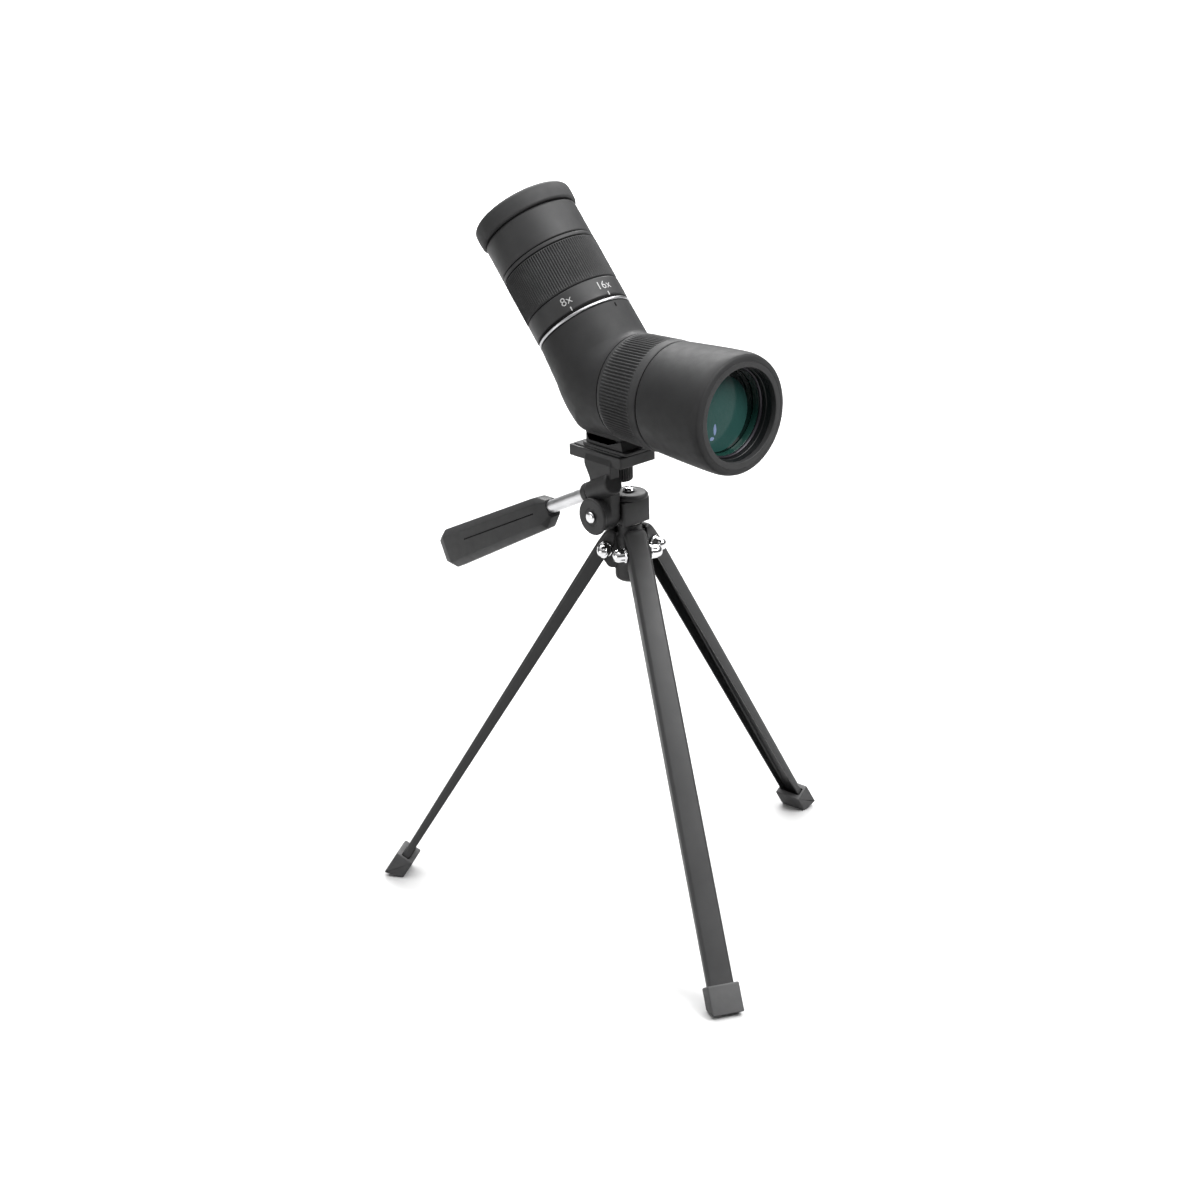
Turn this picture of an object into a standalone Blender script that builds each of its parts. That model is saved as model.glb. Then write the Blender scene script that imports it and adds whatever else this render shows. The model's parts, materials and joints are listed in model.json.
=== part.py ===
"""A compact angled spotting scope on a mini tripod with a pan head.

The tripod column stands on Z through x = y = 0 and the feet rest on z = 0. The objective looks
along -Y and the eyepiece rises towards +Y. Dimensions below are in millimetres.
"""
import math

import bmesh
import bpy
from mathutils import Matrix, Vector

MM = 0.001
GAP = 0.3

# Tripod
LEG_ANGLES = {"front": -115.4, "right": 4.6, "left": 124.6}
LEG_SPREAD = 32.44
PIVOT_R = 10.6
PIVOT_Z = 176.6
LEG_TOP = 10.3
LEG_END = -205.2
LEG_WALL = 0.9
PIN_R = 1.4
FOOT_W = 14.8
FOOT_D = 9.24
FOOT_TOP = -196.4
FOOT_SOLE = -208.5
SOLE_RAKE = 0.2856

# Pan and tilt head
HUB_BOTTOM = 161.0
HUB_TOP = 188.3
PAN_BOTTOM = 189.4
PAN_TOP = 200.6
PAN_R = 9.1
PAN_FLAT = -7.8
PAN_FRONT = -6.7
PAN_CORNER = -9.3
TILT_Y = 3.0
TILT_Z = 195.2
KNUCKLE_R = 7.6
HANDLE_X = -14.0
HANDLE_DROP = 25.8
HANDLE_Z = 207.3
ROD_R = 3.1

# Platform and its screw
PLATE_X = -3.5
PLATE_Y = 6.7
PLATE_W = 21.6
PLATE_L = 34.4
PLATE_TOP = 224.0
PLATE_T = 5.2
SCREW_Y = 0.6

# Scope: the optical axis bends at (SCOPE_X, BEND_Y, BEND_Z)
SCOPE_X = -3.6
BEND_Y = 2.4
BEND_Z = 255.1
EYE_RISE = 48.68
BEND_T = 12.6
BODY_R_FRONT = 23.7
BODY_R_EYE = 22.5
EYE_R = 22.7
EYE_SEAT = 28.6
FOCUS_REAR = 12.9
FOCUS_FRONT = 38.3
BARREL_FRONT = 78.6
RIM_R = 26.9
HEEL_BULGE = (0, 0, 0.3, 1.1, 2.6, 3.2, 2.9, 1.9, 0)
OPENING_R = 20.1

COLOURS = {
    "armour": ((0.035, 0.035, 0.037), 0.62, 0.0),
    "black_plastic": ((0.03, 0.03, 0.032), 0.5, 0.0),
    "soft_rubber": ((0.028, 0.028, 0.03), 0.8, 0.0),
    "black_anodised": ((0.02, 0.02, 0.022), 0.4, 0.8),
    "silver_trim": ((0.75, 0.75, 0.76), 0.25, 1.0),
    "coated_glass": ((0.05, 0.16, 0.15), 0.03, 0.0),
    "clear_glass": ((0.8, 0.85, 0.85), 0.03, 0.0),
    "chrome": ((0.85, 0.85, 0.86), 0.12, 1.0),
    "steel": ((0.55, 0.55, 0.56), 0.3, 1.0),
    "brass": ((0.7, 0.52, 0.25), 0.3, 1.0),
    "painted_casting": ((0.05, 0.05, 0.052), 0.55, 0.2),
    "painted_leg": ((0.07, 0.07, 0.072), 0.42, 0.4),
    "grey_rubber": ((0.12, 0.12, 0.12), 0.8, 0.0),
    "nylon": ((0.7, 0.7, 0.66), 0.6, 0.0),
}


def clear_scene():
    for obj in list(bpy.data.objects):
        bpy.data.objects.remove(obj, do_unlink=True)


def make_material(node, kind):
    colour, roughness, metallic = COLOURS[kind]
    mat = bpy.data.materials.new(node)
    mat.use_nodes = True
    shader = mat.node_tree.nodes["Principled BSDF"]
    shader.inputs["Base Color"].default_value = (*colour, 1.0)
    shader.inputs["Roughness"].default_value = roughness
    shader.inputs["Metallic"].default_value = metallic
    return mat


def place(origin, z_axis=(0, 0, 1), x_axis=(1, 0, 0)):
    """A frame with its origin in millimetres, its Z along z_axis and its X near x_axis."""
    z = Vector(z_axis).normalized()
    y = z.cross(Vector(x_axis)).normalized()
    x = y.cross(z)
    turn = Matrix((x, y, z)).transposed().to_4x4()
    return Matrix.Translation(Vector(origin) * MM) @ turn


def skin(name, rings, kind, frame, loop=False, smooth=True):
    """A solid through rings of points; loop joins the last ring to the first, otherwise both ends are capped.

    A ring of one point is a pole.
    """
    bm = bmesh.new()
    rows = [[bm.verts.new(Vector(p) * MM) for p in ring] for ring in rings]
    pairs = list(zip(rows, rows[1:]))
    if loop:
        pairs.append((rows[-1], rows[0]))
    for low, high in pairs:
        count = max(len(low), len(high))
        for i in range(count):
            j = (i + 1) % count
            corners = [low[i % len(low)], low[j % len(low)], high[j % len(high)], high[i % len(high)]]
            face = list(dict.fromkeys(corners))
            if len(face) > 2:
                bm.faces.new(face)
    if not loop:
        for end in (rows[0], rows[-1]):
            if len(end) > 2:
                bm.faces.new(end)
    bmesh.ops.recalc_face_normals(bm, faces=bm.faces)
    return finish(name, bm, kind, frame, smooth)


def finish(name, bm, kind, frame, smooth=True):
    mesh = bpy.data.meshes.new(name)
    bm.to_mesh(mesh)
    bm.free()
    obj = bpy.data.objects.new(name, mesh)
    bpy.context.scene.collection.objects.link(obj)
    obj.matrix_world = frame
    mesh.materials.append(make_material(name, kind))
    if smooth:
        mesh.shade_smooth()
        mesh.set_sharp_from_angle(angle=math.radians(35))
    return obj


def circle(radius, z, segments, centre=(0, 0)):
    if radius == 0:
        return [(centre[0], centre[1], z)]
    turn = math.tau / segments
    return [
        (centre[0] + radius * math.cos(i * turn), centre[1] + radius * math.sin(i * turn), z)
        for i in range(segments)
    ]


def lathe(name, profile, kind, frame, segments=32, loop=True):
    """Revolves (radius, height) points about the frame's Z. A ring-shaped profile loops back on itself."""
    rings = [circle(r, z, segments) for r, z in profile]
    return skin(name, rings, kind, frame, loop)


def solid_lathe(name, profile, kind, frame, segments=24):
    return lathe(name, profile, kind, frame, segments, loop=False)


def tube(name, r_in, r_out, z0, z1, kind, frame, segments=32):
    return lathe(name, [(r_out, z0), (r_out, z1), (r_in, z1), (r_in, z0)], kind, frame, segments)


def prism(name, outline, z0, z1, kind, frame):
    """Extrudes a polygon of the frame's XY plane from z0 to z1."""
    rings = [[(x, y, z) for x, y in outline] for z in (z0, z1)]
    return skin(name, rings, kind, frame, smooth=False)


def box(name, low, high, kind, frame):
    corners = [(low[0], low[1]), (high[0], low[1]), (high[0], high[1]), (low[0], high[1])]
    return prism(name, corners, low[2], high[2], kind, frame)


def combine(target, helper, operation):
    helper.hide_render = True
    helper.display_type = "WIRE"
    modifier = target.modifiers.new(helper.name, "BOOLEAN")
    modifier.operation = operation
    modifier.solver = "EXACT"
    modifier.object = helper
    return target


def bore(target, name, radius, z0, z1, frame, segments=16):
    tool = solid_lathe(name, [(radius, z0), (radius, z1)], "steel", frame, segments)
    return combine(target, tool, "DIFFERENCE")


def add(target, helper):
    return combine(target, helper, "UNION")


def chamfered(half_x, half_y, cut, cx=0.0, cy=0.0):
    """A rectangle with cut corners."""
    x, y = half_x, half_y
    points = [
        (-x + cut, -y), (x - cut, -y), (x, -y + cut), (x, y - cut),
        (x - cut, y), (-x + cut, y), (-x, y - cut), (-x, -y + cut),
    ]
    return [(cx + px, cy + py) for px, py in points]


def lens(name, radius, z_mid, edge, bulge_low, bulge_high, kind, frame, segments=20):
    """A lens with an edge thickness and a bulge each side, which may be negative."""
    steps = (0.45, 0.8)
    low = [(0, z_mid - edge / 2 - bulge_low)]
    low += [(radius * f, z_mid - edge / 2 - bulge_low * (1 - f * f)) for f in steps]
    high = [(radius * f, z_mid + edge / 2 + bulge_high * (1 - f * f)) for f in reversed(steps)]
    high.append((0, z_mid + edge / 2 + bulge_high))
    rim = [(radius, z_mid - edge / 2), (radius, z_mid + edge / 2)]
    return solid_lathe(name, low + rim + high, kind, frame, segments)


OPTICS = place((SCOPE_X, BEND_Y, BEND_Z), (0, -1, 0))
EYE_DIR = (0, math.cos(math.radians(EYE_RISE)), math.sin(math.radians(EYE_RISE)))
EYE = place((SCOPE_X, BEND_Y, BEND_Z), EYE_DIR)
COLUMN = place((0, 0, 0))
TILT = place((0, TILT_Y, TILT_Z), (-1, 0, 0), (0, 1, 0))
SCREW = place((SCOPE_X, SCREW_Y, 0))
DROP = math.radians(HANDLE_DROP)
HANDLE = place((HANDLE_X, TILT_Y, HANDLE_Z), (0, math.cos(DROP), -math.sin(DROP)))


def ribbed_ring(name, r_in, stations, ribs, kind, frame):
    """A ring whose outer surface carries V-shaped ribs; stations are (height, radius, rib depth)."""
    turn = math.pi / ribs
    rings = []
    for z, radius, depth in stations:
        ring = []
        for i in range(2 * ribs):
            r = radius - depth * (i % 2)
            ring.append((r * math.cos(i * turn), r * math.sin(i * turn), z))
        rings.append(ring)
    for z in (stations[-1][0], stations[0][0]):
        rings.append(circle(r_in, z, 2 * ribs))
    return skin(name, rings, kind, frame, loop=True)


def objective():
    barrel = [
        (24.5, 38.7), (25.0, 39.5), (25.9, 52), (26.6, 64), (RIM_R, 72), (RIM_R, 75.2),
        (26.4, 77.0), (25.4, 78.2), (23.6, BARREL_FRONT), (23.5, 76.7), (20.9, 76.7), (20.9, 38.7),
    ]
    lathe("objective_barrel", barrel, "armour", OPTICS, 36)
    bezel = [
        (20.6, 70.2), (20.6, 77.0), (23.2, 77.0), (23.2, 78.5), (21.0, 78.5), (OPENING_R, 77.7),
        (OPENING_R, 70.2),
    ]
    lathe("front_bezel", bezel, "black_plastic", OPTICS)
    tube("lens_retaining_ring", 19.0, 20.6, 68.2, 69.9, "black_anodised", OPTICS)
    lens("objective_lens_front", 20.5, 66.0, 1.6, 2.4, 0.9, "coated_glass", OPTICS)
    tube("lens_spacer", 19.6, 20.5, 62.3, 64.9, "black_anodised", OPTICS)
    lens("objective_lens_rear", 20.5, 59.8, 4.2, 1.2, -1.6, "coated_glass", OPTICS)
    tube("focus_sleeve", 18.9, 20.6, 10.8, 57.1, "black_anodised", OPTICS)
    tube("focusing_cell", 16.2, 18.6, 22.0, 28.0, "black_anodised", OPTICS, 24)
    lens("focusing_lens", 15.9, 25.0, 2.4, -0.6, 1.0, "clear_glass", OPTICS)
    stations = [
        (FOCUS_REAR, 23.4, 0), (13.6, 23.9, 0), (14.6, 24.0, 0), (15.4, 24.2, 0.55),
        (34.2, 25.0, 0.55), (35.0, 24.8, 0), (FOCUS_FRONT, 24.9, 0),
    ]
    ribbed_ring("focus_ring", 20.9, stations, 32, "soft_rubber", OPTICS)


def bent_tube(r_extra, heel, segments=32):
    """Rings across the bend, from the objective side to the eyepiece side; heel squares off its outer side."""
    rise = math.radians(EYE_RISE)
    arc_r = BEND_T / math.tan(rise / 2)
    centre = Vector((0, BEND_Y - BEND_T, BEND_Z + arc_r))
    rings = []
    for step in range(9):
        angle = rise * min(step, 7) / 7
        outward = Vector((0, math.sin(angle), -math.cos(angle)))
        point = centre + outward * arc_r
        if step == 8:
            point += Vector(EYE_DIR) * (EYE_SEAT - BEND_T)
        share = step / 8
        radius = BODY_R_FRONT + (BODY_R_EYE - BODY_R_FRONT) * share + r_extra(share)
        mitre = 0.0
        if heel and step < 8:
            mitre = 0.9 * (1 / math.cos(min(angle, rise - angle)) - 1)
        ring = []
        for i in range(segments):
            turn = math.tau * i / segments
            across = Vector((SCOPE_X + radius * math.cos(turn), 0, 0))
            side = radius * math.sin(turn)
            weight = min(1.0, max(0.0, math.sin(turn) + 0.3))
            side += weight * (mitre * (arc_r + side) + (HEEL_BULGE[step] if heel else 0.0))
            ring.append(tuple(point + across + outward * side))
        rings.append(ring)
    return rings


def body():
    outer = bent_tube(lambda share: 0.0, True)
    inner = bent_tube(lambda share: -2.7 + 0.3 * share, False)
    housing = skin("prism_housing", outer + inner[::-1], "armour", COLUMN, loop=True)
    pedestal = prism("pedestal", chamfered(8.4, 10.9, 1.5, SCOPE_X, 4.4), 230.8, 236.6, "armour", COLUMN)
    bridge = skin("bridge_cut", bent_tube(lambda share: -1.2, False), "armour", COLUMN)
    combine(pedestal, bridge, "DIFFERENCE")
    add(housing, pedestal)
    foot = prism("mounting_foot", chamfered(9.0, 14.3, 3.0, SCOPE_X, 2.3), 225.0, 227.7, "black_plastic", COLUMN)
    neck = prism("foot_neck", chamfered(5.4, 7.6, 1.2, SCOPE_X, 3.0), 226.4, 230.5, "black_plastic", COLUMN)
    add(foot, neck)
    nose = prism("foot_nose", chamfered(8.2, 3.6, 1.8, SCOPE_X, -8.2), 226.8, 230.5, "black_plastic", COLUMN)
    add(foot, nose)
    bore(foot, "insert_pocket", 4.6, 220.0, 229.0, SCREW, 20)
    tube("thread_insert", 3.5, 4.3, 225.1, 228.7, "brass", SCREW, 20)
    side = place((SCOPE_X, 0, 0), (1, 0, 0), (0, 1, 0))
    outline = [(-8, 244.6), (4, 243.6), (17.5, 254.6), (14, 265.6), (-4, 268)]
    prism("roof_prism", outline, -11.5, 11.5, "clear_glass", side)
    prism("prism_holder", [(-7, 240.9), (5, 240.4), (5, 242.6), (-7, 243.3)], -9, 9, "black_anodised", side)


def eyepiece():
    tube_profile = [
        (20.0, 18.0), (20.0, 22.0), (18.6, 22.4), (18.6, 84.0), (17.0, 84.0), (17.0, 18.0),
    ]
    lathe("eyepiece_tube", tube_profile, "black_anodised", EYE)
    tube("trim_ring", 18.9, EYE_R + 0.2, 28.9, 31.3, "silver_trim", EYE, 36)
    ring = [
        (22.4, 31.6), (EYE_R, 31.9), (EYE_R, 41.0), (22.4, 41.3), (19.9, 41.3), (19.9, 63.0),
        (18.9, 63.0), (18.9, 31.6),
    ]
    lathe("zoom_ring", ring, "black_plastic", EYE, 36)
    stations = [(41.6, 22.5, 0), (42.2, 22.8, 0.4), (62.4, 22.8, 0.4), (63.0, 22.5, 0)]
    ribbed_ring("zoom_grip", 20.2, stations, 32, "soft_rubber", EYE)
    tube("grip_retainer", 18.9, EYE_R, 63.3, 65.3, "black_plastic", EYE)
    barrel = [
        (22.4, 65.6), (EYE_R, 66.0), (EYE_R, 82.0), (21.0, 82.0), (21.0, 68.0), (18.9, 68.0),
        (18.9, 65.6),
    ]
    lathe("ocular_barrel", barrel, "black_plastic", EYE, 36)
    lens("field_lens", 16.7, 26.0, 2.6, 0.9, 0.6, "clear_glass", EYE)
    tube("zoom_cell", 14.6, 16.7, 46.0, 54.0, "black_anodised", EYE, 24)
    lens("zoom_lens", 14.3, 50.0, 4.0, 0.9, 0.9, "clear_glass", EYE)
    lens("eye_lens", 16.7, 79.6, 5.0, 1.2, 0.4, "coated_glass", EYE)
    tube("eyecup_carrier", 19.2, 20.7, 70.0, 89.4, "black_plastic", EYE)
    cup = [
        (23.3, 82.6), (23.8, 83.2), (24.0, 88.6), (23.6, 90.7), (22.5, 91.9), (20.6, 92.3),
        (17.6, 91.8), (16.4, 90.8), (16.4, 89.7), (21.0, 89.7), (21.0, 82.6),
    ]
    lathe("eyecup", cup, "soft_rubber", EYE, 36)


def platform():
    plate = prism(
        "tilt_platform",
        chamfered(PLATE_W / 2, PLATE_L / 2, 0.7, PLATE_X, PLATE_Y),
        PLATE_TOP - PLATE_T, PLATE_TOP, "painted_casting", COLUMN,
    )
    yz = place((0, 0, 0), (1, 0, 0), (0, 1, 0))
    stem_outline = [
        (-4.55, TILT_Z - 1), (-4.7, 221.4), (12.9, 221.4), (12.9, 218.6), (9.0, 210.4), (9.8, 203.0),
        (10.5, TILT_Z - 1),
    ]
    add(plate, prism("stem", stem_outline, -15.3, -9.6, "painted_casting", yz))
    knuckle = [(7.2, 9.85), (KNUCKLE_R, 10.4), (KNUCKLE_R, 18.4)]
    add(plate, solid_lathe("knuckle", knuckle, "painted_casting", TILT, 28))
    boss = [(3.6, -4.4), (5.0, -2.6), (5.0, 6.2)]
    add(plate, solid_lathe("handle_boss", boss, "painted_casting", HANDLE, 24))
    bore(plate, "tilt_bore", 2.35, 5, 25, TILT)
    bore(plate, "plate_bore", 3.6, 210, 230, SCREW, 20)
    bore(plate, "rod_bore", 3.4, 0.4, 20, HANDLE)
    bore(plate, "collar_relief", 5.2, 6.2, 30, HANDLE, 24)
    pad = prism("platform_pad", chamfered(9.4, 15.5, 0.6, PLATE_X, PLATE_Y), PLATE_TOP + 0.05,
                PLATE_TOP + 0.7, "soft_rubber", COLUMN)
    bore(pad, "pad_bore", 3.6, 220, 230, SCREW, 20)


def camera_screw():
    profile = [(2.4, 209.9), (2.6, 209.6), (3.0, 210.2), (3.0, 227.2), (2.4, 228.2)]
    solid_lathe("camera_screw", profile, "steel", SCREW, 20)
    stations = [(209.4, 4.4, 0), (210.1, 5.2, 0.45), (217.3, 5.2, 0.45), (218.1, 4.5, 0)]
    ribbed_ring("screw_knob", 3.3, stations, 16, "black_plastic", SCREW)


def tilt_hardware():
    lathe("tilt_disc", [(8.2, 18.7), (8.6, 19.1), (8.6, 20.2), (8.2, 20.6), (2.35, 20.6), (2.35, 18.7)],
          "painted_casting", TILT, 28)
    screw = [(2.0, 3.4), (2.0, 20.9), (3.0, 20.9), (3.0, 21.5), (2.2, 22.2), (0, 22.4)]
    solid_lathe("tilt_screw", screw, "chrome", TILT, 20)
    tube("tilt_washer", 2.3, 5.6, 8.1, 9.3, "nylon", TILT, 24)


def handle():
    tube("handle_collar", 3.4, 4.9, 6.5, 10.6, "painted_casting", HANDLE, 24)
    solid_lathe("handle_rod", [(ROD_R, 0.8), (ROD_R, 60.0)], "chrome", HANDLE, 20)
    sections = [
        (38.5, 3.9, 3.8, 4.4, 0.9), (42.5, 4.6, 5.4, 8.0, 1.6), (49.5, 5.5, 6.6, 9.0, 2.4),
        (121.5, 5.5, 7.4, 12.0, 2.8), (126.0, 4.4, 5.2, 9.4, 2.0),
    ]
    rings = []
    for z, half, up, down, bevel in sections:
        # The frame's Y points down and back, so the grip's upper side is at -Y.
        ring = [
            (-half, -up + bevel, z), (-half + bevel, -up, z), (half - bevel, -up, z), (half, -up + bevel, z),
            (half, down - bevel, z), (half - bevel, down, z), (-half + bevel, down, z), (-half, down - bevel, z),
        ]
        rings.append(ring)
    grip = skin("handle_grip", rings, "black_plastic", HANDLE, smooth=False)
    bore(grip, "grip_socket", ROD_R + GAP, 25, 60.4, HANDLE, 20)


def pan_base():
    outline = [(PAN_FLAT, -5.2), (PAN_CORNER, -5.2), (PAN_CORNER, PAN_FRONT)]
    start = math.asin(PAN_FRONT / PAN_R)
    end = math.acos(PAN_FLAT / PAN_R)
    steps = 18
    for i in range(steps + 1):
        angle = start + (end - start) * i / steps
        outline.append((PAN_R * math.cos(angle), PAN_R * math.sin(angle)))
    base = prism("pan_base", outline, PAN_BOTTOM, PAN_TOP, "painted_casting", COLUMN)
    bore(base, "pan_bore", 2.35, 180, 210, COLUMN)
    bore(base, "tilt_socket", 2.3, 3.1, 12, TILT)
    cap = [(8.8, 200.9), (8.8, 201.9), (7.7, 203.3), (2.35, 203.3), (2.35, 200.9)]
    lathe("pan_cap", cap, "painted_casting", COLUMN, 28)
    screw = [(2.0, 172.0), (2.0, 203.6), (2.9, 203.6), (2.9, 204.2), (2.0, 205.2), (0, 205.4)]
    solid_lathe("pan_screw", screw, "chrome", COLUMN, 20)
    tube("pan_washer", 2.35, 5.6, 188.6, 189.1, "nylon", COLUMN, 24)


def leg_frame(angle):
    """Origin on the leg's pin, X out of its front face, Y along the pin, Z up the leg."""
    a = math.radians(angle)
    lean = math.radians(LEG_SPREAD)
    out = Vector((math.cos(a), math.sin(a), 0))
    up_leg = Vector((-out.x * math.sin(lean), -out.y * math.sin(lean), math.cos(lean)))
    face = Vector((out.x * math.cos(lean), out.y * math.cos(lean), math.sin(lean)))
    return place((PIVOT_R * out.x, PIVOT_R * out.y, PIVOT_Z), up_leg, face)


def hub():
    column = [
        (5.8, HUB_BOTTOM), (7.2, HUB_BOTTOM + 1.6), (7.2, 174.0), (6.6, 176.0), (6.6, 182.0), (5.7, 184.4), (5.7, HUB_TOP),
        (2.35, HUB_TOP), (2.35, HUB_BOTTOM),
    ]
    obj = lathe("leg_hub", column, "painted_casting", COLUMN, 28)
    outline = [(3.4, 167.0), (9.6, 167.0), (13.2, 172.4), (13.6, 177.0), (12.4, 180.0), (7.8, 184.6), (3.4, 184.6)]
    for side, angle in LEG_ANGLES.items():
        a = math.radians(angle)
        fin = place((0, 0, 0), (math.sin(a), -math.cos(a), 0), (math.cos(a), math.sin(a), 0))
        add(obj, prism(f"lug_{side}", outline, -3.8, 3.8, "painted_casting", fin))
    for side, angle in LEG_ANGLES.items():
        a = math.radians(angle)
        pin = place((PIVOT_R * math.cos(a), PIVOT_R * math.sin(a), PIVOT_Z), (math.sin(a), -math.cos(a), 0))
        bore(obj, f"lug_bore_{side}", PIN_R + 0.15, -6, 6, pin)


def channel(half, x_in, x_out, corner):
    """The leg's U section: open on the inner side, rounded on the outer."""
    wall = LEG_WALL
    inner = max(corner - wall, 0.3)
    side = [
        (x_in, half), (x_out - corner, half), (x_out - 0.3 * corner, half - 0.3 * corner),
        (x_out, half - corner),
    ]
    back = [(x_out - wall, half - wall - inner), (x_out - wall - inner, half - wall), (x_in, half - wall)]
    outer = [(x, -y) for x, y in side] + [(x, y) for x, y in reversed(side)]
    return outer + [(x, y) for x, y in reversed(back)] + [(x, -y) for x, y in back]


def legs():
    levels = [
        (LEG_END, 6.1, -1.7, 1.8), (-100.0, 5.7, -1.9, 3.4), (0.0, 5.2, -2.2, 4.8), (4.0, 5.2, -2.0, 4.6),
        (7.5, 5.2, -0.6, 4.1), (9.4, 4.9, 0.8, 3.5), (LEG_TOP, 3.8, 1.0, 2.6),
    ]
    for side, angle in LEG_ANGLES.items():
        frame = leg_frame(angle)
        rings = []
        for z, half, x_in, x_out in levels:
            rings.append([(x, y, z) for x, y in channel(half, x_in, x_out, 1.4)])
        leg = skin(f"leg_{side}", rings, "painted_leg", frame)
        across = frame @ place((0, 0, 0), (0, 1, 0))
        bore(leg, f"leg_bore_{side}", PIN_R + 0.15, -8, 8, across)
        foot_block(side, frame)
        solid_lathe(f"leg_pin_{side}", [(PIN_R, -9.4), (PIN_R, 9.4)], "steel", across, 16)
        for end, turn in (("a", 1), ("b", -1)):
            nut_frame = frame @ place((0, 0, 0), (0, turn, 0))
            dome_nut(f"dome_nut_{side}_{end}", nut_frame)


def foot_block(side, frame):
    lean = math.radians(LEG_SPREAD)
    half = FOOT_D / 2

    def height(x, z):
        return PIVOT_Z + x * math.sin(lean) + z * math.cos(lean)

    def at_ground(a, b):
        share = height(*a) / (height(*a) - height(*b))
        return (a[0] + (b[0] - a[0]) * share, a[1] + (b[1] - a[1]) * share)

    low_in = (-half, FOOT_SOLE + half * SOLE_RAKE)
    low_out = (half, FOOT_SOLE - half * SOLE_RAKE)
    top_in = (-half, FOOT_TOP)
    outline = [top_in, at_ground(top_in, low_in), at_ground(low_out, low_in), low_out, (half, FOOT_TOP)]
    upright = frame @ place((0, 0, 0), (0, -1, 0))
    block = prism(f"foot_{side}", outline, -FOOT_W / 2, FOOT_W / 2, "grey_rubber", upright)
    socket = box(f"foot_socket_{side}", (-2.1, -6.5, LEG_END - GAP), (2.2, 6.5, FOOT_TOP + 5), "steel", frame)
    combine(block, socket, "DIFFERENCE")


def dome_nut(name, frame):
    start = 5.5
    bottom = 9.8
    profile = [
        (0, bottom), (PIN_R + 0.15, bottom), (PIN_R + 0.15, start), (3.65, start), (3.65, start + 0.9),
        (3.15, start + 1.2), (3.1, start + 3.4), (2.6, start + 4.9), (1.4, start + 6.0), (0, start + 6.3),
    ]
    solid_lathe(name, profile, "chrome", frame, 14)


clear_scene()
objective()
body()
eyepiece()
platform()
camera_screw()
tilt_hardware()
handle()
pan_base()
hub()
legs()
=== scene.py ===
import json
import math

import bmesh
import bpy
from mathutils import Matrix, Vector


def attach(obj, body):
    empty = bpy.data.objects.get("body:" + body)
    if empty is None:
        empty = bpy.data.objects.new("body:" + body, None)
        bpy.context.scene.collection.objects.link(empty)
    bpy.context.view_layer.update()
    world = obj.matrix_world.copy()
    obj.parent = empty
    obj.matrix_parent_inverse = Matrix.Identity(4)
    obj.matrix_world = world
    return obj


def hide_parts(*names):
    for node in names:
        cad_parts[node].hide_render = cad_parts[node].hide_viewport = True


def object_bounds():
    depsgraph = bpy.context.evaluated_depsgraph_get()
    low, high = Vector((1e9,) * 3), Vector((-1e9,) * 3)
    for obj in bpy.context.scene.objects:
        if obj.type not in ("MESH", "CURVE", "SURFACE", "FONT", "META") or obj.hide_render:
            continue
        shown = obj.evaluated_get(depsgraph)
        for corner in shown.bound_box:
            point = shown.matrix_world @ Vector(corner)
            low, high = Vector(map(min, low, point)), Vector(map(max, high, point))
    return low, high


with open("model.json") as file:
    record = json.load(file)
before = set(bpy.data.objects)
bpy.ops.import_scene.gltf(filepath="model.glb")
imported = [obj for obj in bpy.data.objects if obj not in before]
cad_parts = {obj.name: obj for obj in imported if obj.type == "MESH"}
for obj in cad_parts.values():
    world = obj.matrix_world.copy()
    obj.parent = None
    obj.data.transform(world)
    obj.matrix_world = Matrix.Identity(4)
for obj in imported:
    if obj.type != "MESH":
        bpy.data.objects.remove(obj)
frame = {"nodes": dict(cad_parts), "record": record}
cad_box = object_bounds()
record = frame["record"]

# Lengths here are millimetres and angles are degrees, as in the CAD.
MM = 0.001

BODY_OF = {node: body for body, nodes in record["behaviour"]["bodies"].items() for node in nodes}
SLOT_OF = {part["node"]: part["material_slot"] for part in record["subparts"]}
JOINTS = {joint["name"]: joint for joint in record["behaviour"]["joints"]}
SIDES = ("front", "left", "right")

# Optics, as stations along the optical axis (forwards) and along the eyepiece axis (towards the eye).
BEND_T = 12.6
BODY_R_FRONT = 23.7
BODY_R_EYE = 22.5
BORE_R_FRONT = 21.0
BORE_R_EYE = 20.1
EYE_R = 22.7
EYE_SEAT = 28.6
HEEL_MITRE = 0.9
HEEL_BULGE = 3.2
OPENING_R = 20.1
LENS_R = 20.4
LENS_RIM = 66.2
LENS_RISE = 1.4
BEND_STATIONS = 56
HOUSING_SIDES = 144
BEND_SHARE = 7 / 8
HEEL_START = 0.17
HEEL_SKEW = 1.15
HEEL_WRAP = 0.3
SKIN_DEPTH = -0.12

# Rings with ribs and the marks on the scale ring.
FOCUS_RIBS = 100
FOCUS_RIB_DEPTH = 0.75
FOCUS_RIBS_FROM = 15.5
FOCUS_RIBS_TO = 34.0
ZOOM_RIBS = 120
ZOOM_RIB_DEPTH = 0.55
ZOOM_RIBS_FROM = 42.35
ZOOM_RIBS_TO = 62.3
KNOB_RIBS = 26
KNOB_RIB_DEPTH = 0.5
KNOB_RIBS_FROM = 210.4
KNOB_RIBS_LENGTH = 6.8
ZOOM_STEP = 49.5
MARK_ANGLE = -90
MARK_SIZE = 5.5
MARK_HEIGHT = 36.7
TICK_HEIGHT = 32.5
INDEX_HEIGHT = 26.6

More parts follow.
